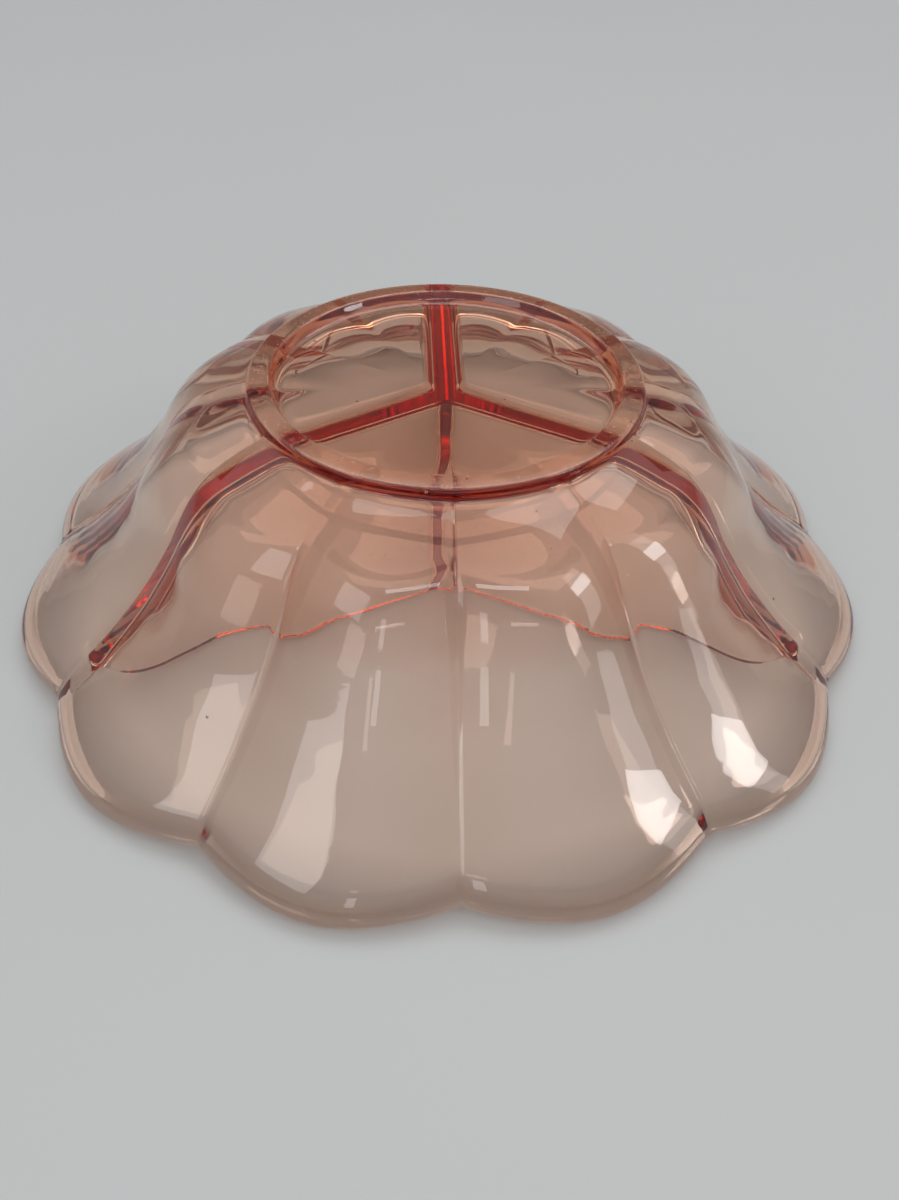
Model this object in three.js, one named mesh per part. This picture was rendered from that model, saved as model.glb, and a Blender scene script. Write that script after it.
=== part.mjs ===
// Divided candy dish in pressed pink glass, stored upside down on its scalloped rim.
// Millimetres, +Z up. The rim rests on z = 0 and the ground foot ring faces +Z.
// The glass is one pressing: the solids below are its moulded features, cut at clean seams.
import * as THREE from 'three';

// ---- driving dimensions -------------------------------------------------------------------
const HEIGHT = 50.3;              // table to the ground face of the foot ring
const RIM_CUSP_RADIUS = 90;       // axis to the notch between two petals, at the rim
const FOOT_RADIUS = 40;           // seam between the foot and the petals
const FOOT_FACE_WIDTH = 3.6;      // width of the ground face, edge roundings included
const FOOT_SLOPE = 1.4;           // how far the inner side of the foot ring leans inward
const FOOT_EDGE = 0.3;            // rounding on both edges of the ground face
const RECESS_DEPTH = 2.2;         // from the ground face down to the recessed base
const BASE_THICKNESS = 6.1;       // glass between the recess and the inside floor
const FLOOR_RADIUS = 29;          // flat part of the inside floor
const FLOOR_DROP = 1.5;           // how far the floor has curved down at the foot seam
const FOOT_STEP = 1.3;            // face to the top of the petals at the foot seam
const PETALS = 12;                // lobes round the dish
const PETAL_BULGE_FOOT = 1.8;     // lobe stand-out from the creases beside the foot
const PETAL_BULGE_RIM = 5.2;      // lobe stand-out from the creases at the rim
const PETAL_ROUNDNESS = 0.6;      // 0 gives pointed lobes, larger gives rounder ones
const INNER_BULGE_FOOT = 5.2;     // the same on the inside, which makes thick glass at a crease
const INNER_BULGE_RIM = 4.9;      // and an even wall at the rim
const WALL_THICKNESS = 3;         // glass at a crease, square to the wall, out to the rim
const SHOULDER_EXTRA = 3.7;       // further glass on the shoulder, most beside the foot
const SHOULDER_REACH = 0.44;      // share of the way out where that further glass has gone
const CUSP_LIFT = 1.2;            // creases stand this far above the table at the rim
const RIM_EDGE_HEIGHT = 4.6;      // top of the rim rounding above the table, at a crease
const DIVIDERS = 3;               // radial walls inside the dish
const DIVIDER_THICKNESS = 3.2;    // thickness of a radial wall
const DIVIDER_EDGE_Z = 1.6;       // free edge of the dividers above the table
const DIVIDER_LEVEL_REACH = 70;   // radius where the free edge starts to rise to the wall
const DIVIDER_END_REACH = 80.5;   // radius where a divider ends on the wall
const DIVIDER_END_HEIGHT = 1.6;   // height of glass left at the outer end of a divider
const DIVIDER_CLEARANCE = 0.3;    // seam kept round a divider

// ---- fineness -----------------------------------------------------------------------------
const STEPS_PER_PETAL = 8;        // facets across one petal
const STEPS_ROUND = PETALS * STEPS_PER_PETAL;

// ---- derived sizes ------------------------------------------------------------------------
const RECESS_Z = HEIGHT - RECESS_DEPTH;
const FLOOR_Z = RECESS_Z - BASE_THICKNESS;
const SEAM_INNER_Z = FLOOR_Z - FLOOR_DROP;
const SEAM_OUTER_Z = HEIGHT - FOOT_STEP;
const FACE_OUTER_RADIUS = FOOT_RADIUS - FOOT_EDGE;
const FACE_INNER_RADIUS = FACE_OUTER_RADIUS - FOOT_FACE_WIDTH;
const RING_INNER_RADIUS = FACE_INNER_RADIUS - FOOT_SLOPE;

// Outside of the ogee wall at a crease. Each pair is (share of the way out from foot to rim,
// share of the height above the rim edge).
const OUTER_CURVE = [
  [0.020, 0.993],
  [0.080, 0.950],
  [0.156, 0.914],
  [0.232, 0.868],
  [0.312, 0.789],
  [0.380, 0.686],
  [0.436, 0.586],
  [0.498, 0.499],
  [0.566, 0.411],
  [0.642, 0.331],
  [0.726, 0.247],
  [0.808, 0.180],
  [0.886, 0.121],
  [0.950, 0.069],
  [0.984, 0.033],
];

const GLASS = { color: 0xd9a892, roughness: 0.05, metalness: 0, opacity: 0.55, transparent: true };

/** Angle of a numbered step round the dish; step 0 is the crease on the -Y side. */
function stepAngle(step) {
  const wrapped = ((step % STEPS_ROUND) + STEPS_ROUND) % STEPS_ROUND;
  return (wrapped / STEPS_ROUND) * 2 * Math.PI - Math.PI / 2;
}

/** Lobe shape across a petal: 1 in the middle and 0, with a sharp notch, at a crease. */
function lobeShape(across) {
  const k = PETAL_ROUNDNESS;
  const edge = Math.hypot(1, k);
  return (edge - Math.hypot(across, k)) / (edge - k);
}

/** A wall point at a crease from its shares of reach and height. */
function wallPoint([reach, rise]) {
  const radius = FOOT_RADIUS + reach * (RIM_CUSP_RADIUS - FOOT_RADIUS);
  const z = RIM_EDGE_HEIGHT + rise * (SEAM_OUTER_Z - RIM_EDGE_HEIGHT);
  return { radius, z, reach };
}

/** Inside of the wall at a crease: the outside set in by the thickness of the glass. */
function innerLine() {
  const outer = OUTER_CURVE.map(wallPoint);
  return outer.slice(2, -1).map((point, index) => {
    const [before, after] = [outer[index + 1], outer[index + 3]];
    const run = after.radius - before.radius;
    const fall = before.z - after.z;
    const shoulder = Math.max(0, 1 - (point.reach / SHOULDER_REACH) ** 2);
    const inset = (WALL_THICKNESS + SHOULDER_EXTRA * shoulder) / Math.hypot(run, fall);
    const radius = point.radius - inset * fall;
    const reach = (radius - FOOT_RADIUS) / (RIM_CUSP_RADIUS - FOOT_RADIUS);
    return { radius, z: point.z - inset * run, reach };
  });
}

/** Rounded rim section at a crease, from the outer side down and back to the inner side. */
function rimPoints() {
  const low = CUSP_LIFT;
  const tall = RIM_EDGE_HEIGHT - low;
  return [
    { radius: RIM_CUSP_RADIUS, z: low + tall * 0.84, reach: 1 },
    { radius: RIM_CUSP_RADIUS + 0.2, z: low + tall * 0.45, reach: 1 },
    { radius: RIM_CUSP_RADIUS - 0.4, z: low + tall * 0.1, reach: 1 },
    { radius: RIM_CUSP_RADIUS - 1.3, z: low, reach: 1 },
    { radius: RIM_CUSP_RADIUS - 2.2, z: low + tall * 0.22, reach: 0.97 },
  ];
}

/** The closed section of the wall at one place across a petal, as (radius, z) pairs. */
function wallSection(across) {
  const section = [[FOOT_RADIUS, SEAM_OUTER_Z]];
  const lobe = lobeShape(across);
  const add = (point, atFoot, atRim) => {
    const bulge = atFoot + point.reach * (atRim - atFoot);
    const droop = CUSP_LIFT * point.reach ** 2;
    section.push([point.radius + bulge * lobe, point.z - droop * lobe]);
  };
  for (const pair of OUTER_CURVE) {
    add(wallPoint(pair), PETAL_BULGE_FOOT, PETAL_BULGE_RIM);
  }
  for (const point of rimPoints()) {
    add(point, PETAL_BULGE_FOOT, PETAL_BULGE_RIM);
  }
  for (const point of innerLine().reverse()) {
    add(point, INNER_BULGE_FOOT, INNER_BULGE_RIM);
  }
  section.push([FOOT_RADIUS, SEAM_INNER_Z]);
  section.push([FOOT_RADIUS, RECESS_Z]);
  return section;
}

/** A named mesh of pink glass. */
function glassMesh(name, geometry) {
  const mesh = new THREE.Mesh(geometry, new THREE.MeshStandardMaterial(GLASS));
  mesh.name = name;
  return mesh;
}

/** Turns positions and triangles into a mesh, welding equal points and facing outward. */
function closedMesh(name, positions, triangles) {
  const lookup = new Map();
  const points = [];
  const welded = positions.map((p) => {
    const key = p.map((value) => value.toFixed(6)).join();
    if (!lookup.has(key)) {
      lookup.set(key, points.length);
      points.push(p);
    }
    return lookup.get(key);
  });
  const faces = triangles
    .map((face) => face.map((index) => welded[index]))
    .filter(([a, b, c]) => a !== b && b !== c && c !== a);
  const volume = faces.reduce((sum, [a, b, c]) => {
    const [p, q, r] = [points[a], points[b], points[c]].map((v) => new THREE.Vector3(...v));
    return sum + p.dot(q.cross(r));
  }, 0);
  const facing = volume < 0 ? faces.map(([a, b, c]) => [a, c, b]) : faces;
  const geometry = new THREE.BufferGeometry();
  geometry.setAttribute('position', new THREE.Float32BufferAttribute(points.flat(), 3));
  geometry.setIndex(facing.flat());
  geometry.computeVertexNormals();
  return glassMesh(name, geometry);
}

/** Triangles joining neighbouring loops of equal length. */
function bandTriangles(loops, length, wrap) {
  const triangles = [];
  const bands = wrap ? loops : loops - 1;
  for (let band = 0; band < bands; band += 1) {
    const here = band * length;
    const next = ((band + 1) % loops) * length;
    for (let i = 0; i < length; i += 1) {
      const j = (i + 1) % length;
      triangles.push([here + i, here + j, next + j], [here + i, next + j, next + i]);
    }
  }
  return triangles;
}

/** Triangles closing a flat section of (radius, z) pairs, wound with or against its loop. */
function capTriangles(section, first, withLoop) {
  const flat = section.map(([radius, z]) => new THREE.Vector2(radius, z));
  const loopArea = THREE.ShapeUtils.area(flat);
  return THREE.ShapeUtils.triangulateShape(flat, []).map(([a, b, c]) => {
    const sameWay = THREE.ShapeUtils.area([flat[a], flat[b], flat[c]]) * loopArea > 0;
    const corners = sameWay === withLoop ? [a, b, c] : [c, b, a];
    return corners.map((corner) => first + corner);
  });
}

/** A ring or disc turned about the axis from a (radius, z) profile. */
function turned(name, profile) {
  const points = profile.map(([radius, z]) => new THREE.Vector2(radius, z));
  const geometry = new THREE.LatheGeometry(points.reverse(), STEPS_ROUND);
  geometry.rotateX(Math.PI / 2);
  return glassMesh(name, geometry);
}

/** Foot ring: the raised ring with the ground face the dish stands on in use. */
function footRing() {
  return turned('foot_ring', [
    [RING_INNER_RADIUS, RECESS_Z],
    [RING_INNER_RADIUS + 0.7 * FOOT_SLOPE, RECESS_Z + 0.5 * RECESS_DEPTH],
    [FACE_INNER_RADIUS, HEIGHT - FOOT_EDGE],
    [FACE_INNER_RADIUS + FOOT_EDGE, HEIGHT],
    [FACE_OUTER_RADIUS - FOOT_EDGE, HEIGHT],
    [FACE_OUTER_RADIUS, HEIGHT - FOOT_EDGE],
    [FOOT_RADIUS, SEAM_OUTER_Z],
    [FOOT_RADIUS, RECESS_Z],
    [RING_INNER_RADIUS, RECESS_Z],
  ]);
}

/** Base disc: the recessed floor inside the foot ring. */
function baseDisc() {
  return turned('base_disc', [
    [0, RECESS_Z],
    [RING_INNER_RADIUS, RECESS_Z],
    [FOOT_RADIUS, RECESS_Z],
    [FOOT_RADIUS, SEAM_INNER_Z],
    [FLOOR_RADIUS, FLOOR_Z],
    [0, FLOOR_Z],
  ]);
}

/** One petal: the ogee wall between two creases, from the foot seam to the rounded rim. */
function petal(number) {
  const positions = [];
  let section = [];
  for (let i = 0; i <= STEPS_PER_PETAL; i += 1) {
    const angle = stepAngle(number * STEPS_PER_PETAL + i);
    section = wallSection((2 * i) / STEPS_PER_PETAL - 1);
    for (const [radius, z] of section) {
      positions.push([radius * Math.cos(angle), radius * Math.sin(angle), z]);
    }
  }
  const first = STEPS_PER_PETAL * section.length;
  const triangles = [
    ...bandTriangles(STEPS_PER_PETAL + 1, section.length, false),
    ...capTriangles(section, 0, false),
    ...capTriangles(section, first, true),
  ];
  return closedMesh(`petal_${String(number + 1).padStart(2, '0')}`, positions, triangles);
}

/** Height of the inside of the dish, on a crease, at a given radius. */
function insideHeight(radius) {
  const line = [
    { radius: 0, z: FLOOR_Z },
    { radius: FLOOR_RADIUS, z: FLOOR_Z },
    { radius: FOOT_RADIUS, z: SEAM_INNER_Z },
    ...innerLine(),
  ];
  const next = line.findIndex((point) => point.radius >= radius && point.radius > 0);
  const [a, b] = [line[next - 1], line[next]];
  return THREE.MathUtils.mapLinear(radius, a.radius, b.radius, a.z, b.z);
}

/** Radii at which a divider is cut into stations, from the mitre at the axis to the wall. */
function dividerStations() {
  const half = DIVIDER_THICKNESS / 2;
  const mitre = Math.PI / DIVIDERS;
  const tip = DIVIDER_CLEARANCE / 2 / Math.sin(mitre);
  const wall = innerLine().map((point) => point.radius);
  const middle = [FLOOR_RADIUS, FOOT_RADIUS, ...wall, DIVIDER_LEVEL_REACH]
    .filter((radius) => radius < DIVIDER_END_REACH)
    .sort((a, b) => a - b);
  return [
    { radius: tip, half: 0 },
    { radius: tip + half / Math.tan(mitre), half },
    ...middle.map((radius) => ({ radius, half })),
    { radius: DIVIDER_END_REACH, half },
  ];
}

/** One divider: an upright wall from the middle of the dish to a crease. */
function divider(name, angle) {
  const away = new THREE.Vector3(Math.cos(angle), Math.sin(angle), 0);
  const aside = new THREE.Vector3(-Math.sin(angle), Math.cos(angle), 0);
  const endTop = insideHeight(DIVIDER_END_REACH) - DIVIDER_CLEARANCE * 1.4;
  const endLow = endTop - DIVIDER_END_HEIGHT;
  const stations = dividerStations();
  const positions = stations.flatMap(({ radius, half }) => {
    const top = insideHeight(radius) - DIVIDER_CLEARANCE * 1.4;
    const risen = Math.max(0, radius - DIVIDER_LEVEL_REACH);
    const share = risen / (DIVIDER_END_REACH - DIVIDER_LEVEL_REACH);
    const low = DIVIDER_EDGE_Z + share * (endLow - DIVIDER_EDGE_Z);
    return [[-half, low], [half, low], [half, top], [-half, top]].map(([side, z]) => {
      const point = away.clone().multiplyScalar(radius).addScaledVector(aside, side);
      return [point.x, point.y, z];
    });
  });
  const last = positions.length - 4;
  const triangles = [
    ...bandTriangles(stations.length, 4, false),
    [last, last + 1, last + 2],
    [last, last + 2, last + 3],
  ];
  return closedMesh(name, positions, triangles);
}

const dish = new THREE.Group();
dish.name = 'divided_candy_dish';
dish.add(footRing());
dish.add(baseDisc());
for (let number = 0; number < PETALS; number += 1) {
  dish.add(petal(number));
}
['divider_back', 'divider_left', 'divider_right'].forEach((name, index) => {
  dish.add(divider(name, Math.PI / 2 + (index * 2 * Math.PI) / DIVIDERS));
});

export default dish;
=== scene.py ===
"""A divided candy dish in pink pressed glass, standing upside down on its petalled rim."""

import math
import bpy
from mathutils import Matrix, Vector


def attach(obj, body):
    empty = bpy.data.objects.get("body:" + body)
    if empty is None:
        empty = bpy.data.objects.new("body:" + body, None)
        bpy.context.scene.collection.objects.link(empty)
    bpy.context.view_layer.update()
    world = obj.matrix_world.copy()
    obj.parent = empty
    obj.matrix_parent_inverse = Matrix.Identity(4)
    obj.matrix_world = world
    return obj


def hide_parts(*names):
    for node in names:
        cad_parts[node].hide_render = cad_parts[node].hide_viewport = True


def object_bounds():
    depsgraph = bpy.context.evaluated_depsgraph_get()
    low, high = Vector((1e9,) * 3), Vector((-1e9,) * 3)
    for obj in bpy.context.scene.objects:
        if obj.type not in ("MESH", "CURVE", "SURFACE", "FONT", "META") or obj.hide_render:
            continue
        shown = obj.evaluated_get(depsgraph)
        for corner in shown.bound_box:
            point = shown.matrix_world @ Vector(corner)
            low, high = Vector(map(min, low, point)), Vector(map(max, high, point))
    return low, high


bl_info = {
    "name": "Pressed Glass Candy Dish",
    "version": (1, 0, 0),
    "blender": (4, 5, 0),
    "location": "View3D > Sidebar > Candy Dish",
    "description": "Builds a twelve-petal divided candy dish in pink pressed glass, with its studio",
    "category": "Add Mesh",
}

import bmesh
import bpy
import numpy as np
from bpy.props import FloatProperty, FloatVectorProperty, IntProperty, PointerProperty
from mathutils import Matrix, Vector

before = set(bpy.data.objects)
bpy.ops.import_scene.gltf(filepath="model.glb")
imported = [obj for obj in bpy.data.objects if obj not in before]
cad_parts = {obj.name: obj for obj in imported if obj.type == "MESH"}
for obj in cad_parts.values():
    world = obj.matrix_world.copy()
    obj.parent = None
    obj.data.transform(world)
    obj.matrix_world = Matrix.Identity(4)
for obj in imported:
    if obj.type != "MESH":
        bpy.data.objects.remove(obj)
CAD_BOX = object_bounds()

MM = 0.001
DISH_HEIGHT = CAD_BOX[1].z / MM
PETALS = 12
PETAL_STEP = 2 * math.pi / PETALS
PETALS_PER_COMPARTMENT = 4
DIVIDERS = 3
DIVIDER_STEP = 2 * math.pi / DIVIDERS
FIRST_DIVIDER = math.pi / 2

# The wall is drawn at a crease between two petals, in mm: distance from the axis, height,
# and for the outside also how much of the petal swell acts there and how much it has turned
# from the crisp outside swell into the soft inside one.
FOOT_RADIUS = 40.0
CREASE_REACH = 50.0
SWELL_AT_FOOT = 1.8
SWELL_ADDED_AT_RIM = 3.4
CUSP_LIFT = 1.2
PETAL_ROUNDNESS = 0.6
INSIDE_SWELL_AT_FOOT = 5.2
INSIDE_SWELL_ADDED_AT_RIM = -0.3
CREASE_GROOVE_DEPTH = 0.2
CREASE_GROOVE_WIDTH = 0.45
OUTSIDE_LINE = (
    (0.0, 48.1, 0, 0), (15.0, 48.1, 0, 0), (31.5, 48.1, 0, 0), (33.2, 48.13, 0, 0),
    (34.2, 48.4, 0, 0), (34.8, 49.0, 0, 0), (35.2, 49.65, 0, 0), (35.5, 50.08, 0, 0),
    (35.95, 50.26, 0, 0), (36.6, 50.3, 0, 0), (38.95, 50.3, 0, 0), (39.5, 50.24, 0, 0),
    (39.85, 50.0, 0, 0), (39.97, 49.5, 0, 0), (40.0, 48.6, 0, 0), (40.08, 47.95, 0.2, 0),
    (40.45, 47.5, 0.7, 0), (41.3, 47.15, 1, 0), (44.0, 46.4, 1, 0), (47.8, 45.0, 1, 0),
    (51.6, 43.2, 1, 0), (55.6, 39.7, 1, 0), (59.0, 35.1, 1, 0), (61.8, 30.7, 1, 0),
    (64.9, 26.8, 1, 0), (68.3, 22.9, 1, 0), (72.1, 19.3, 1, 0), (76.3, 15.6, 1, 0),
    (80.4, 12.6, 1, 0), (84.3, 10.0, 1, 0), (87.5, 7.6, 1, 0), (89.3, 5.6, 1, 0),
    (90.0, 4.1, 1, 0), (90.15, 2.8, 1, 0.05), (89.7, 1.7, 1, 0.25), (88.8, 1.15, 1, 0.5),
    (87.8, 1.6, 1, 0.75), (87.0, 3.1, 1, 0.92), (85.9, 5.1, 1, 1),
)
# The inside at a crease is the outside set in by the glass, which is thicker on the shoulder.
WALL_THICKNESS = 3.0
SHOULDER_EXTRA = 3.7
SHOULDER_REACH = 0.44
FLOOR_LINE = ((0.0, 42.0), (14.0, 42.0), (28.0, 42.0), (34.0, 41.4), (40.0, 40.4))
INNER_RIM_LINE = ((85.9, 5.1), (87.0, 3.1))
# The stretch of the outside, by distance from the axis, that the inside follows.
INSET_WALL_START = 47.8
INSET_WALL_END = 84.3
# The free edge of a divider, in mm: distance from the axis and height.
FREE_EDGE_LINE = ((0.0, 1.5), (66.0, 1.5), (72.0, 1.9), (76.5, 3.4), (80.5, 7.6), (84.0, 13.0), (90.0, 22.0))
# One half of that edge, across: share of its half width, and how far it has risen, in mm.
NOSE = ((0.0, 0.0), (0.45, 0.02), (0.72, 0.1), (0.91, 0.36), (1.0, 0.95))
SIDE_SHARES = (0.03, 0.35, 0.68, 0.97)
FILLET_ANGLES = tuple(math.radians(a) for a in (12, 32, 52, 71, 90))
DIVIDER_FILLET = 2.4
DIVIDER_COLUMNS = len(NOSE) + len(SIDE_SHARES) + len(FILLET_ANGLES) - 1
DIVIDER_BLEND_WIDTH = 4.8
END_BLEND_HEIGHT = 9.0
HUB_ROUNDING = 2.6
CREASE_OFFSETS = (0.18, 0.4, 0.75, 1.3, 2.2)
INNER_RIM_RADIUS = 85.9
# How deep in the wall the seed bubbles lie, and the seed of their random places.
BUBBLE_DEPTH = 1.3
BUBBLE_SEED = 41


class DishSizes(bpy.types.PropertyGroup):
    """Sizes of the glass that a maker would change."""

    height: FloatProperty(
        name="Height", description="From the table to the ground face of the foot ring",
        default=DISH_HEIGHT * MM, min=0.02, max=0.2, unit="LENGTH", precision=4,
    )
    divider_thickness: FloatProperty(
        name="Divider thickness", description="Across a divider near its free edge",
        default=2.9 * MM, min=0.001, max=0.006, unit="LENGTH", precision=4,
    )
    divider_draft: FloatProperty(
        name="Divider draft", description="How much thicker a divider is where it meets the base",
        default=1.1 * MM, min=0, max=0.003, unit="LENGTH", precision=4,
    )
    row_reach: FloatProperty(
        name="Row spacing", description="Longest step of the mesh down the wall",
        default=1.5 * MM, min=0.0004, max=0.004, unit="LENGTH", precision=4,
    )
    bubbles: IntProperty(
        name="Seed bubbles", description="Tiny air bubbles left in the wall",
        default=34, min=0, max=200,
    )


class GlassLook(bpy.types.PropertyGroup):
    """Colour and surface of the pink glass."""

    tint: FloatVectorProperty(
        name="Tint", description="Light left in each colour by the absorbing glass",
        subtype="COLOR", size=3, min=0, max=1, default=(0.88, 0.43, 0.13),
    )
    density: FloatProperty(
        name="Density", description="Absorption for each metre of glass", default=100, min=0, max=1000,
    )
    refraction: FloatProperty(
        name="Refraction", description="Index of refraction", default=1.51, min=1.3, max=1.8,
    )
    ripple: FloatProperty(
        name="Chill ripple", description="Depth of the fine ripples left by the cold mould",
        default=0.012 * MM, min=0, max=0.001, unit="LENGTH", precision=6,
    )
    foot_wear: FloatProperty(
        name="Foot wear", description="Roughness of the ground and rubbed foot face",
        default=0.3, min=0, max=1, subtype="FACTOR",
    )


class StudioLook(bpy.types.PropertyGroup):
    """The table, the lights and the camera."""

    table_colour: FloatVectorProperty(
        name="Table", description="Colour of the table top", subtype="COLOR", size=3, min=0, max=1,
        default=(0.37, 0.372, 0.368),
    )
    table_glow: FloatVectorProperty(
        name="Table under the dish",
        description="Colour of the table top under the dish, paler for the light that the glass gathers",
        subtype="COLOR", size=3, min=0, max=1, default=(0.60, 0.595, 0.585),
    )
    sky_colour: FloatVectorProperty(
        name="Room light", description="Colour of the light from all round", subtype="COLOR",
        size=3, min=0, max=1, default=(0.95, 0.98, 1.0),
    )
    sky_strength: FloatProperty(
        name="Room light strength", description="Strength of the light from all round",
        default=1.15, min=0, max=5,
    )
    wall_share: FloatProperty(
        name="Wall light share", description="Light from the walls as a share of the light from overhead",
        default=0.3, min=0, max=1, subtype="FACTOR",
    )
    window_strength: FloatProperty(
        name="Window strength", description="Scale of every window light", default=1.0, min=0, max=5,
    )
    lens: FloatProperty(
        name="Lens", description="Focal length of the camera", default=25.0, min=10, max=200, unit="CAMERA",
    )


# ---------------------------------------------------------------- lines and petals


def smooth_line(points, steps=24):
    """Centripetal spline through the points, with the given number of steps in each span."""
    p = np.array(points, float)
    p = np.vstack([2 * p[0] - p[1], p, 2 * p[-1] - p[-2]])
    knots = np.concatenate([[0], np.cumsum(np.linalg.norm(np.diff(p[:, :2], axis=0), axis=1) ** 0.5)])
    line = []
    for i in range(1, len(p) - 2):
        t0, t1, t2, t3 = knots[i - 1 : i + 3]
        t = np.linspace(t1, t2, steps, endpoint=False)[:, None]
        a = (t1 - t) / (t1 - t0) * p[i - 1] + (t - t0) / (t1 - t0) * p[i]
        b = (t2 - t) / (t2 - t1) * p[i] + (t - t1) / (t2 - t1) * p[i + 1]
        c = (t3 - t) / (t3 - t2) * p[i + 1] + (t - t2) / (t3 - t2) * p[i + 2]
        ab = (t2 - t) / (t2 - t0) * a + (t - t0) / (t2 - t0) * b
        bc = (t3 - t) / (t3 - t1) * b + (t - t1) / (t3 - t1) * c
        line.append((t2 - t) / (t2 - t1) * ab + (t - t1) / (t2 - t1) * bc)
    return np.vstack(line + [p[-2]])


def spaced(line, reach, turn):
    """Points along a dense line, closer together where it bends."""
    steps = np.diff(line[:, :2], axis=0)
    length = np.linalg.norm(steps, axis=1)
    heading = np.unwrap(np.arctan2(steps[:, 1], steps[:, 0]))
    bend = np.abs(np.gradient(heading))
    cost = np.concatenate([[0], np.cumsum(length / reach + bend / turn)])
    stops = np.linspace(0, cost[-1], int(math.ceil(cost[-1])) + 1)
    return np.column_stack([np.interp(stops, cost, line[:, i]) for i in range(line.shape[1])])


def petal_share(angle):
    """Place across a petal, from -1 at one crease to 1 at the next."""
    return 2 * (((angle - FIRST_DIVIDER) / PETAL_STEP) % 1) - 1


def petal_swell(v):
    """Crisp swell of a petal: full at its middle and none at its creases."""
    edge = math.hypot(1, PETAL_ROUNDNESS)
    return (edge - np.hypot(v, PETAL_ROUNDNESS)) / (edge - PETAL_ROUNDNESS)


def crease_groove(v, radius):
    """Depth of the narrow groove that the mould leaves along each crease outside."""
    away = (1 - np.abs(v)) * PETAL_STEP / 2 * radius
    return CREASE_GROOVE_DEPTH * np.exp(-((away / CREASE_GROOVE_WIDTH) ** 2))


def inside_line():
    """The inside of the dish at a crease, from the middle of the floor to the rim."""
    outside = np.array(OUTSIDE_LINE)[:, :2]
    along = np.gradient(outside, axis=0)
    along /= np.linalg.norm(along, axis=1)[:, None]
    reach = (outside[:, 0] - FOOT_RADIUS) / CREASE_REACH
    shoulder = np.clip(1 - (reach / SHOULDER_REACH) ** 2, 0, None)
    inward = np.column_stack([along[:, 1], -along[:, 0]])
    inside = outside + inward * (WALL_THICKNESS + SHOULDER_EXTRA * shoulder)[:, None]
    wall = (INSET_WALL_START <= outside[:, 0]) & (outside[:, 0] <= INSET_WALL_END)
    return np.vstack([FLOOR_LINE, inside[wall], INNER_RIM_LINE])


INSIDE_TABLE = smooth_line(inside_line(), 40)
FREE_EDGE_TABLE = smooth_line(FREE_EDGE_LINE, 40)


def inside_height(x, y):
    """Height of the inside wall and floor over a place in plan, in mm."""
    radius = np.hypot(x, y)
    swell = petal_swell(petal_share(np.arctan2(y, x)))
    reach = (radius - FOOT_RADIUS - INSIDE_SWELL_AT_FOOT * swell) / (
        CREASE_REACH + INSIDE_SWELL_ADDED_AT_RIM * swell
    )
    crease_radius = FOOT_RADIUS + CREASE_REACH * reach
    level = np.interp(crease_radius, INSIDE_TABLE[:, 0], INSIDE_TABLE[:, 1])
    return level - CUSP_LIFT * np.clip(reach, 0, None) ** 2 * swell


def column_angles():
    """Angles of the mesh columns round the dish, closest at the dividers and the creases."""
    near_divider = [math.asin(d / INNER_RIM_RADIUS) for d in divider_blend_offsets()]
    stops = list(near_divider)
    for crease in range(1, PETALS_PER_COMPARTMENT):
        middle = crease * PETAL_STEP
        cluster = [d / INNER_RIM_RADIUS for d in CREASE_OFFSETS]
        fill_up_to(stops, middle - cluster[-1])
        stops += [middle - c for c in reversed(cluster)] + [middle] + [middle + c for c in cluster]
    fill_up_to(stops, DIVIDER_STEP - near_divider[-1])
    stops += [DIVIDER_STEP - a for a in reversed(near_divider)][: len(near_divider) - 1]
    return np.array(stops)


def fill_up_to(stops, end, step=math.radians(1.9)):
    """Adds evenly spaced angles from the last stop up to, but not at, the end."""
    start = stops[-1]
    count = max(1, round((end - start) / step))
    stops += [start + (end - start) * i / count for i in range(1, count)]


# ---------------------------------------------------------------- dividers


def divider_blend_offsets():
    """Offsets of the divider columns from its middle plane where the divider has died away."""
    return [DIVIDER_BLEND_WIDTH * k / DIVIDER_COLUMNS for k in range(DIVIDER_COLUMNS + 1)]


def free_edge_depth(station):
    """How far the divider stands out of the wall at a station, never quite reaching zero."""
    wall = np.interp(station, INSIDE_TABLE[:, 0], INSIDE_TABLE[:, 1])
    edge = np.interp(station, FREE_EDGE_TABLE[:, 0], FREE_EDGE_TABLE[:, 1])
    gap = wall - edge
    return 0.5 * (gap + np.sqrt(gap * gap + 0.25)), wall


def divider_section(column, depth, half_edge, half_base):
    """Offset and rise above the free edge of one column of a divider, for each depth."""
    nose = np.minimum(NOSE[-1][1], 0.35 * depth)
    fillet = np.minimum(DIVIDER_FILLET, 0.5 * depth)
    side = depth - nose - fillet
    if column < len(NOSE):
        across, up = NOSE[column]
        return half_edge * across + 0 * depth, nose * up / NOSE[-1][1], 0.0
    column -= len(NOSE)
    if column < len(SIDE_SHARES):
        share = SIDE_SHARES[column]
        return half_edge + (half_base - half_edge) * share + 0 * depth, nose + side * share, share
    a = FILLET_ANGLES[column - len(SIDE_SHARES)]
    return half_base + fillet * (1 - math.cos(a)), nose + side + fillet * math.sin(a), 1.0


def hub_rounding(station, offset, radius):
    """Extra offset that rounds the corner between two dividers at the hub."""
    run = station - offset / math.tan(DIVIDER_STEP / 2)
    tangent = radius / math.tan(DIVIDER_STEP / 2)
    short = np.clip(tangent - run, 0, radius)
    return np.where(run < tangent, radius - np.sqrt(np.maximum(radius * radius - short * short, 0)), 0)


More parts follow.
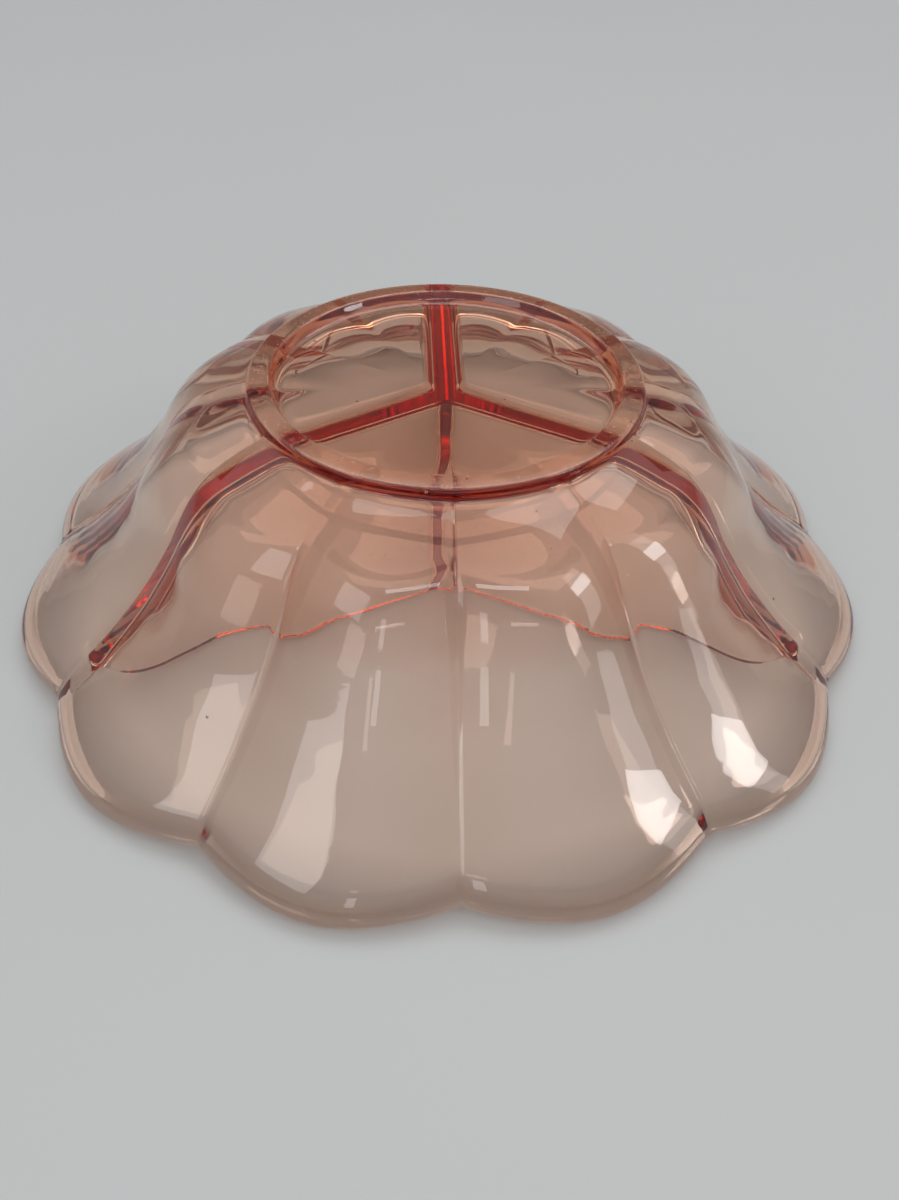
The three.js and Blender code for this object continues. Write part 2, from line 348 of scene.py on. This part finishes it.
def divider_column(column, shares, end, sizes):
    """Station, offset and height of one divider column from the hub to the rim loop, in mm."""
    half_edge = sizes.divider_thickness / MM / 2
    half_base = half_edge + sizes.divider_draft / MM / 2
    corner = HUB_ROUNDING * min(1, column / 3)
    full, _, _ = divider_section(column, np.array([40.0]), half_edge, half_base)
    start = full[0] / math.tan(DIVIDER_STEP / 2) + corner * (1 / math.tan(DIVIDER_STEP / 2) - 0.5)
    station = start + shares * (end[0] - start)
    depth, wall = free_edge_depth(station)
    offset, rise, follow = divider_section(column, depth, half_edge, half_base)
    flat = column / DIVIDER_COLUMNS
    share = np.clip(depth / END_BLEND_HEIGHT, 0, 1)
    share = share * share * (3 - 2 * share)
    offset = share * offset + (1 - share) * end[1]
    rise = share * rise + (1 - share) * depth * (1 - math.cos(math.pi / 2 * flat) ** 2)
    follow = share * follow + (1 - share) * flat
    offset = offset + hub_rounding(station, offset, corner)
    side_wall = inside_height(-offset, station)
    return station, offset, wall - depth + rise + follow * (side_wall - wall)


# ---------------------------------------------------------------- the glass body


class Body:
    """Vertices and faces of the one closed glass body, in mm."""

    def __init__(self):
        self.points = []
        self.faces = []

    def add(self, x, y, z):
        """Adds a point and returns its number."""
        self.points.append((float(x), float(y), float(z)))
        return len(self.points) - 1

    def patch(self, a, b):
        """Joins two columns of points with quads, or triangles where they share a point."""
        for i in range(len(a) - 1):
            corners = []
            for c in (a[i], a[i + 1], b[i + 1], b[i]):
                if c not in corners:
                    corners.append(c)
            if len(corners) > 2:
                self.faces.append(corners)


def add_outside(body, angles, sizes):
    """The outside from the middle of the base over the foot ring and the petals to the inner rim."""
    rows = spaced(smooth_line(OUTSIDE_LINE), sizes.row_reach / MM, math.radians(9))
    middle = body.add(0, 0, rows[0, 1])
    columns = []
    for angle in angles:
        v = petal_share(angle)
        reach = np.clip((rows[:, 0] - FOOT_RADIUS) / CREASE_REACH, 0, None)
        swell = rows[:, 2] * petal_swell(v)
        outside = SWELL_AT_FOOT + SWELL_ADDED_AT_RIM * reach
        inside = INSIDE_SWELL_AT_FOOT + INSIDE_SWELL_ADDED_AT_RIM * reach
        groove = rows[:, 2] * (1 - rows[:, 3]) * crease_groove(v, rows[:, 0])
        radius = rows[:, 0] + ((1 - rows[:, 3]) * outside + rows[:, 3] * inside) * swell - groove
        height = rows[:, 1] - CUSP_LIFT * reach**2 * swell
        points = [body.add(r * math.cos(angle), r * math.sin(angle), z)
                  for r, z in zip(radius[1:], height[1:])]
        columns.append([middle] + points)
    for i, column in enumerate(columns):
        body.patch(column, columns[(i + 1) % len(columns)])
    return [column[-1] for column in columns]


def inside_shares():
    """Places along an inside column, from the hub to the rim loop."""
    near = [0, 0.3, 0.6, 0.9, 1.3, 1.8, 2.5, 3.5, 5, 7, 9.5]
    return np.array(near + list(np.linspace(12, 33, 9)) + list(np.linspace(34, 85.9, 62))) / 85.9


def rim_in_divider_frame(body, point, angle):
    """Station along, and offset from, the divider at this angle of a point of the rim loop."""
    x, y, _ = body.points[point]
    c, s = math.cos(angle), math.sin(angle)
    return x * c + y * s, abs(-x * s + y * c)


def add_divider_columns(body, angle, side, rim, shares, sizes):
    """The columns on one side of a divider, from its free edge to where its fillet meets the wall."""
    c, s = math.cos(angle), math.sin(angle)
    columns = []
    for k in range(DIVIDER_COLUMNS + 1):
        end = rim_in_divider_frame(body, rim[k], angle)
        station, offset, height = divider_column(k, shares, end, sizes)
        x, y = station * c - side * offset * s, station * s + side * offset * c
        columns.append((np.column_stack([x, y, height])))
    return columns


def add_inside(body, loop, sizes):
    """The inside: three compartments, each with half of the divider on either hand."""
    per_third = len(loop) // DIVIDERS
    shares = inside_shares()
    hub = None
    edge_columns = {}
    last = DIVIDER_COLUMNS
    for third in range(DIVIDERS):
        angle = FIRST_DIVIDER + third * DIVIDER_STEP
        rim = [loop[(third * per_third + i) % len(loop)] for i in range(per_third + 1)]
        near = add_divider_columns(body, angle, 1, rim[: last + 1], shares, sizes)
        far = add_divider_columns(body, angle + DIVIDER_STEP, -1, rim[::-1][: last + 1], shares, sizes)
        if hub is None:
            hub = body.add(0, 0, near[0][0][2])
        corners = [hub] + [body.add(*near[k][0]) for k in range(1, last + 1)]
        near_ids, far_ids = [], []
        for k in range(last + 1):
            for lines, ids, end, owner in (
                (near, near_ids, rim[k], third), (far, far_ids, rim[-1 - k], (third + 1) % DIVIDERS),
            ):
                if k == 0 and owner in edge_columns:
                    ids.append(edge_columns[owner])
                    continue
                ids.append([corners[k]] + [body.add(*p) for p in lines[k][1:-1]] + [end])
                if k == 0:
                    edge_columns[owner] = ids[0]
        start = np.array(body.points[corners[last]])
        fan = [near_ids[last]]
        for end in rim[last + 1 : per_third - last]:
            stop = np.array(body.points[end])
            plan = start[:2] + shares[1:-1, None] * (stop - start)[:2]
            heights = inside_height(plan[:, 0], plan[:, 1])
            fan.append([corners[last]] + [body.add(*p, z) for p, z in zip(plan, heights)] + [end])
        columns = near_ids + fan[1:] + far_ids[::-1]
        for a, b in zip(columns, columns[1:]):
            body.patch(b, a)


def mesh_object(name, points, faces):
    """A smooth-shaded mesh object from points in mm, facing outwards, in the scene."""
    mesh = bpy.data.meshes.new(name)
    mesh.from_pydata([tuple(c * MM for c in p) for p in points], [], faces)
    bm = bmesh.new()
    bm.from_mesh(mesh)
    bmesh.ops.recalc_face_normals(bm, faces=bm.faces)
    if bm.calc_volume(signed=True) < 0:
        bmesh.ops.reverse_faces(bm, faces=bm.faces)
    loose = [e for e in bm.edges if len(e.link_faces) != 2]
    if loose:
        raise RuntimeError(f"{name} isn't closed: {len(loose)} open edges")
    bm.to_mesh(mesh)
    bm.free()
    mesh.shade_smooth()
    piece = bpy.data.objects.new(name, mesh)
    bpy.context.scene.collection.objects.link(piece)
    return piece


def build_glass(sizes):
    """The whole dish as one pressing."""
    body = Body()
    third = column_angles()
    angles = np.concatenate([FIRST_DIVIDER + i * DIVIDER_STEP + third for i in range(DIVIDERS)])
    loop = add_outside(body, angles, sizes)
    add_inside(body, loop, sizes)
    lift = sizes.height / MM / DISH_HEIGHT
    points = [(x, y, min(z, DISH_HEIGHT) * lift) for x, y, z in body.points]
    return mesh_object("dish_glass", points, body.faces)


# ---------------------------------------------------------------- seed bubbles


def bubble_places(glass, count):
    """Places in the middle of the wall for the seed bubbles, and a size for each, in mm."""
    rng = np.random.default_rng(BUBBLE_SEED)
    mesh = glass.data
    places = []
    while len(places) < count:
        v = mesh.vertices[int(rng.integers(len(mesh.vertices)))]
        radius = math.hypot(v.co.x, v.co.y) / MM
        if v.normal.z > 0.25 and 10 < radius < 86:
            middle = v.co / MM - v.normal * (BUBBLE_DEPTH + rng.uniform(-0.3, 0.4))
            places.append((middle, rng.uniform(0.14, 0.3), rng.uniform(1.0, 1.5)))
    return places


def build_bubbles(glass, count):
    """The seed bubbles, each a small drawn-out closed ball of air."""
    points, faces = [], []
    for middle, radius, draw in bubble_places(glass, count):
        bm = bmesh.new()
        bmesh.ops.create_icosphere(bm, subdivisions=2, radius=radius)
        first = len(points)
        points += [(middle.x + v.co.x, middle.y + v.co.y, middle.z + v.co.z * draw) for v in bm.verts]
        faces += [[first + v.index for v in f.verts] for f in bm.faces]
        bm.free()
    return mesh_object("seed_bubbles", points, faces)


# ---------------------------------------------------------------- materials


class Nodes:
    """Short calls for building a material's node tree."""

    def __init__(self, material):
        material.use_nodes = True
        self.tree = material.node_tree
        self.tree.nodes.clear()
        self.output = self.tree.nodes.new("ShaderNodeOutputMaterial")

    def add(self, kind, links=None, **values):
        """Adds a node, sets its values by input name and links its inputs."""
        node = self.tree.nodes.new(kind)
        for name, value in values.items():
            setattr(node, name, value)
        for name, source in (links or {}).items():
            if isinstance(source, (int, float, tuple)):
                node.inputs[name].default_value = source
            else:
                self.tree.links.new(source, node.inputs[name])
        return node

    def ramp(self, value, low, high):
        """0 below low, 1 above high, smooth between."""
        node = self.add("ShaderNodeMapRange", interpolation_type="SMOOTHSTEP")
        self.tree.links.new(value, node.inputs["Value"])
        node.inputs["From Min"].default_value = low
        node.inputs["From Max"].default_value = high
        return node.outputs["Result"]

    def times(self, a, b):
        """Product of two values."""
        node = self.add("ShaderNodeMath", {0: a, 1: b}, operation="MULTIPLY")
        return node.outputs[0]

    def noise(self, vector, scale, detail=2.0):
        """Noise value at a place."""
        node = self.add("ShaderNodeTexNoise", {"Vector": vector, "Scale": scale, "Detail": detail})
        return node.outputs["Fac"]

    def stretched(self, vector, x, y, z):
        """The place scaled along each axis."""
        node = self.add("ShaderNodeVectorMath", {0: vector, 1: (x, y, z)}, operation="MULTIPLY")
        return node.outputs["Vector"]


def glass_material(look):
    """Pink pressed glass: tint by depth, mould ripples, a rubbed foot face and specks of wear."""
    material = bpy.data.materials.new("pink_pressed_glass")
    n = Nodes(material)
    place = n.add("ShaderNodeTexCoord").outputs["Object"]
    axes = n.add("ShaderNodeSeparateXYZ", {"Vector": place})
    height = axes.outputs["Z"]
    foot = n.ramp(height, 50.1 * MM, 50.25 * MM)
    rubbed = n.ramp(n.noise(n.stretched(place, 900, 900, 900), 1.0, 6.0), 0.38, 0.72)
    roughness = n.add(
        "ShaderNodeMath", {0: n.times(foot, rubbed), 1: look.foot_wear, 2: 0.004}, operation="MULTIPLY_ADD"
    ).outputs[0]
    ripple_zone = n.times(n.ramp(height, 22 * MM, 30 * MM), n.ramp(height, 40 * MM, 33 * MM))
    ripple = n.times(n.noise(n.stretched(place, 60, 60, 1500), 1.0, 3.0), ripple_zone)
    sag = n.noise(n.stretched(place, 38, 38, 60), 1.0, 1.0)
    relief = n.add("ShaderNodeMath", {0: sag, 1: 6.0, 2: ripple}, operation="MULTIPLY_ADD").outputs[0]
    bump = n.add("ShaderNodeBump", {"Strength": 1.0, "Distance": look.ripple, "Height": relief})
    shoulder = n.times(n.ramp(height, 40 * MM, 44 * MM), n.ramp(height, 49 * MM, 46 * MM))
    speck = n.times(n.ramp(n.noise(n.stretched(place, 1700, 1700, 1700), 1.0, 2.0), 0.70, 0.74), shoulder)
    patches = n.times(speck, n.ramp(n.noise(n.stretched(place, 90, 90, 90), 1.0, 1.0), 0.5, 0.62))
    colour = n.add("ShaderNodeMix", {"Factor": patches}, data_type="RGBA")
    colour.inputs[6].default_value = (1, 1, 1, 1)
    colour.inputs[7].default_value = (0.42, 0.27, 0.2, 1)
    shader = n.add("ShaderNodeBsdfPrincipled", {
        "Base Color": colour.outputs[2], "Roughness": roughness, "Normal": bump.outputs["Normal"],
        "IOR": look.refraction, "Transmission Weight": 1.0,
    })
    depth = n.add("ShaderNodeVolumeAbsorption", {"Color": (*look.tint, 1.0), "Density": look.density})
    n.tree.links.new(shader.outputs["BSDF"], n.output.inputs["Surface"])
    n.tree.links.new(depth.outputs["Volume"], n.output.inputs["Volume"])
    return material


def bubble_material(look):
    """Air inside the glass."""
    material = bpy.data.materials.new("trapped_air")
    n = Nodes(material)
    place = n.add("ShaderNodeTexCoord").outputs["Object"]
    roughness = n.times(n.noise(n.stretched(place, 3000, 3000, 3000), 1.0), 0.03)
    shader = n.add("ShaderNodeBsdfPrincipled", {
        "Base Color": (1.0, 1.0, 1.0, 1.0), "Roughness": roughness,
        "IOR": 1 / look.refraction, "Transmission Weight": 1.0,
    })
    n.tree.links.new(shader.outputs["BSDF"], n.output.inputs["Surface"])
    return material


def table_material(look):
    """A pale satin table top with a faint cloudiness, paler under the dish: painted light standing in for
    the light that the glass gathers there.
    """
    material = bpy.data.materials.new("pale_table")
    n = Nodes(material)
    place = n.add("ShaderNodeTexCoord").outputs["Object"]
    cloud = n.noise(n.stretched(place, 3, 3, 3), 1.0, 3.0)
    mix = n.add("ShaderNodeMix", {"Factor": cloud}, data_type="RGBA")
    mix.inputs[6].default_value = (*[c * 0.97 for c in look.table_colour], 1)
    mix.inputs[7].default_value = (*[min(1, c * 1.03) for c in look.table_colour], 1)
    # Painted light: the table top turns paler under the dish, in place of the light that the glass gathers
    # there.
    out = n.add("ShaderNodeVectorMath", {0: place}, operation="LENGTH").outputs["Value"]
    glow = n.add("ShaderNodeMix", {"Factor": n.ramp(out, 78 * MM, 90 * MM)}, data_type="RGBA")
    glow.inputs[6].default_value = (*look.table_glow, 1)
    n.tree.links.new(mix.outputs[2], glow.inputs[7])
    grain = n.noise(n.stretched(place, 900, 900, 900), 1.0, 2.0)
    bump = n.add("ShaderNodeBump", {"Strength": 0.15, "Distance": 0.00005, "Height": grain})
    shader = n.add("ShaderNodeBsdfPrincipled", {
        "Base Color": glow.outputs[2], "Roughness": 0.55, "Normal": bump.outputs["Normal"],
    })
    n.tree.links.new(shader.outputs["BSDF"], n.output.inputs["Surface"])
    return material


# ---------------------------------------------------------------- studio


def build_table():
    """A table top that sweeps up far behind the dish."""
    rows = [(-1.6, 0.0)]
    rows += [(y, 0.0) for y in np.linspace(-1.4, 2.6, 9)]
    rows += [(2.6 + 1.6 * math.sin(a), 1.6 * (1 - math.cos(a))) for a in np.linspace(0.12, math.pi / 2, 14)]
    rows += [(4.2, 3.2)]
    points, faces = [], []
    for y, z in rows:
        points += [(x, y, z) for x in (-4.5, 0.0, 4.5)]
    for i in range(len(rows) - 1):
        for j in range(2):
            a = i * 3 + j
            faces.append((a, a + 1, a + 4, a + 3))
    mesh = bpy.data.meshes.new("table")
    mesh.from_pydata(points, [], faces)
    mesh.shade_smooth()
    table = bpy.data.objects.new("table", mesh)
    bpy.context.scene.collection.objects.link(table)
    return table


# name, direction to it (azimuth from the front, elevation), distance, width, height, radiance, colour
WINDOWS = (
    ("window_right_tall", 68, 27, 1.5, 0.26, 1.0, 2.2, (1.0, 0.98, 0.96)),
    ("window_right_bright", 68, 31, 1.45, 0.30, 0.24, 6.5, (1.0, 1.0, 1.0)),
    ("window_front_left", -44, 36, 1.6, 0.60, 0.62, 2.6, (1.0, 0.99, 0.97)),
    ("window_front_high", 5, 54, 1.7, 0.80, 0.10, 5.0, (1.0, 1.0, 1.0)),
    ("window_left_slit", -12, 24, 1.7, 0.10, 0.35, 3.0, (1.0, 0.98, 0.95)),
    ("ceiling_back", 165, 58, 2.2, 2.0, 0.9, 2.2, (1.0, 1.0, 1.0)),
)


def add_window(name, azimuth, elevation, distance, width, height, radiance, colour, strength):
    """A soft window light that faces the dish."""
    light = bpy.data.lights.new(name, "AREA")
    light.shape = "RECTANGLE"
    light.size = width
    light.size_y = height
    light.energy = radiance * math.pi * width * height * strength
    light.color = colour
    lamp = bpy.data.objects.new(name, light)
    a, e = math.radians(azimuth), math.radians(elevation)
    back = Vector((math.sin(a) * math.cos(e), -math.cos(a) * math.cos(e), math.sin(e)))
    lamp.location = back * distance + Vector((0, 0, 0.03))
    lamp.rotation_euler = back.to_track_quat("Z", "Y").to_euler()
    bpy.context.scene.collection.objects.link(lamp)


def add_room_light(look):
    """Soft light from all round, bright overhead and dim near the floor, as in a pale room."""
    world = bpy.data.worlds.new("pale_room")
    world.use_nodes = True
    tree = world.node_tree
    background = tree.nodes["Background"]
    place = tree.nodes.new("ShaderNodeTexCoord")
    axes = tree.nodes.new("ShaderNodeSeparateXYZ")
    height = tree.nodes.new("ShaderNodeMapRange")
    height.interpolation_type = "SMOOTHSTEP"
    height.inputs["From Min"].default_value = 0.0
    height.inputs["From Max"].default_value = 0.75
    height.inputs["To Min"].default_value = look.sky_strength * look.wall_share
    height.inputs["To Max"].default_value = look.sky_strength
    tree.links.new(place.outputs["Generated"], axes.inputs["Vector"])
    tree.links.new(axes.outputs["Z"], height.inputs["Value"])
    tree.links.new(height.outputs["Result"], background.inputs["Strength"])
    background.inputs["Color"].default_value = (*look.sky_colour, 1)
    bpy.context.scene.world = world


LIGHT_BOUNCES = 40
CAMERA_AZIMUTH = math.radians(-2.76)
CAMERA_ELEVATION = math.radians(41.43)
CAMERA_ROLL = math.radians(1.33)
CAMERA_DISTANCE = 203.3 * MM
CAMERA_AIM_HEIGHT = 1.0 * MM
CAMERA_PAN = -0.0085
CAMERA_TILT = 0.0573


def camera_matrix():
    """Where the camera stands and how it is turned."""
    a, e = CAMERA_AZIMUTH, CAMERA_ELEVATION
    back = Vector((math.sin(a) * math.cos(e), -math.cos(a) * math.cos(e), math.sin(e)))
    right = (-back).cross(Vector((0, 0, 1))).normalized()
    up = right.cross(-back)
    c, s = math.cos(CAMERA_ROLL), math.sin(CAMERA_ROLL)
    roll = Matrix(((c, s, 0), (-s, c, 0), (0, 0, 1)))
    c, s = math.cos(CAMERA_PAN), math.sin(CAMERA_PAN)
    pan = Matrix(((c, 0, s), (0, 1, 0), (-s, 0, c)))
    c, s = math.cos(CAMERA_TILT), math.sin(CAMERA_TILT)
    tilt = Matrix(((1, 0, 0), (0, c, s), (0, -s, c)))
    right, up, ahead = tilt @ pan @ roll @ Matrix((right, up, -back))
    turned = Matrix((right, up, -ahead)).transposed().to_4x4()
    place = back * CAMERA_DISTANCE + Vector((0, 0, CAMERA_AIM_HEIGHT))
    return Matrix.Translation(place) @ turned


def add_camera(look):
    """The scene's camera."""
    data = bpy.data.cameras.new("camera")
    data.lens = look.lens
    data.sensor_width = 36
    data.clip_start = 0.01
    camera = bpy.data.objects.new("camera", data)
    camera.matrix_world = camera_matrix()
    bpy.context.scene.collection.objects.link(camera)
    bpy.context.scene.camera = camera


def allow_long_light_paths(cycles):
    """Lets light be reflected many times inside the thick glass, as it is in the foot ring."""
    cycles.max_bounces = LIGHT_BOUNCES
    cycles.glossy_bounces = LIGHT_BOUNCES
    cycles.transmission_bounces = LIGHT_BOUNCES


# ---------------------------------------------------------------- operators and panel


class CANDYDISH_OT_studio(bpy.types.Operator):
    """Set up the table, the lights and the camera"""

    bl_idname = "candydish.studio"
    bl_label = "Set Up the Studio"

    def execute(self, context):
        look = context.scene.candydish_studio
        table = build_table()
        table.data.materials.append(table_material(look))
        add_room_light(look)
        for window in WINDOWS:
            add_window(*window, look.window_strength)
        add_camera(look)
        context.scene.view_settings.view_transform = "Standard"
        allow_long_light_paths(context.scene.cycles)
        return {"FINISHED"}


class CANDYDISH_OT_glass(bpy.types.Operator):
    """Press the whole dish: foot ring, base, twelve petals and three dividers in one glass body"""

    bl_idname = "candydish.glass"
    bl_label = "Press the Glass"

    def execute(self, context):
        glass = build_glass(context.scene.candydish_sizes)
        glass.data.materials.append(glass_material(context.scene.candydish_glass))
        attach(glass, "root")
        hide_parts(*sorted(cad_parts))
        return {"FINISHED"}


class CANDYDISH_OT_bubbles(bpy.types.Operator):
    """Scatter the seed bubbles through the wall of the dish"""

    bl_idname = "candydish.bubbles"
    bl_label = "Add Seed Bubbles"

    def execute(self, context):
        glass = bpy.data.objects["dish_glass"]
        bubbles = build_bubbles(glass, context.scene.candydish_sizes.bubbles)
        bubbles.data.materials.append(bubble_material(context.scene.candydish_glass))
        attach(bubbles, "root")
        return {"FINISHED"}


OPERATORS = (CANDYDISH_OT_studio, CANDYDISH_OT_glass, CANDYDISH_OT_bubbles)
GROUPS = (
    ("candydish_sizes", DishSizes),
    ("candydish_glass", GlassLook),
    ("candydish_studio", StudioLook),
)


class CANDYDISH_PT_panel(bpy.types.Panel):
    """Sizes, colours and building steps of the candy dish"""

    bl_idname = "CANDYDISH_PT_panel"
    bl_label = "Candy Dish"
    bl_space_type = "VIEW_3D"
    bl_region_type = "UI"
    bl_category = "Candy Dish"

    def draw(self, context):
        layout = self.layout
        for name, group in GROUPS:
            box = layout.box()
            for key in group.__annotations__:
                box.prop(getattr(context.scene, name), key)
        for operator in OPERATORS:
            layout.operator(operator.bl_idname)


def register():
    for name, group in GROUPS:
        bpy.utils.register_class(group)
        setattr(bpy.types.Scene, name, PointerProperty(type=group))
    for operator in OPERATORS:
        bpy.utils.register_class(operator)
    bpy.utils.register_class(CANDYDISH_PT_panel)


def unregister():
    bpy.utils.unregister_class(CANDYDISH_PT_panel)
    for operator in reversed(OPERATORS):
        bpy.utils.unregister_class(operator)
    for name, group in reversed(GROUPS):
        delattr(bpy.types.Scene, name)
        bpy.utils.unregister_class(group)


def main():
    """Build the whole scene."""
    register()
    bpy.ops.candydish.studio()
    bpy.ops.candydish.glass()
    bpy.ops.candydish.bubbles()


if __name__ == "__main__":
    main()
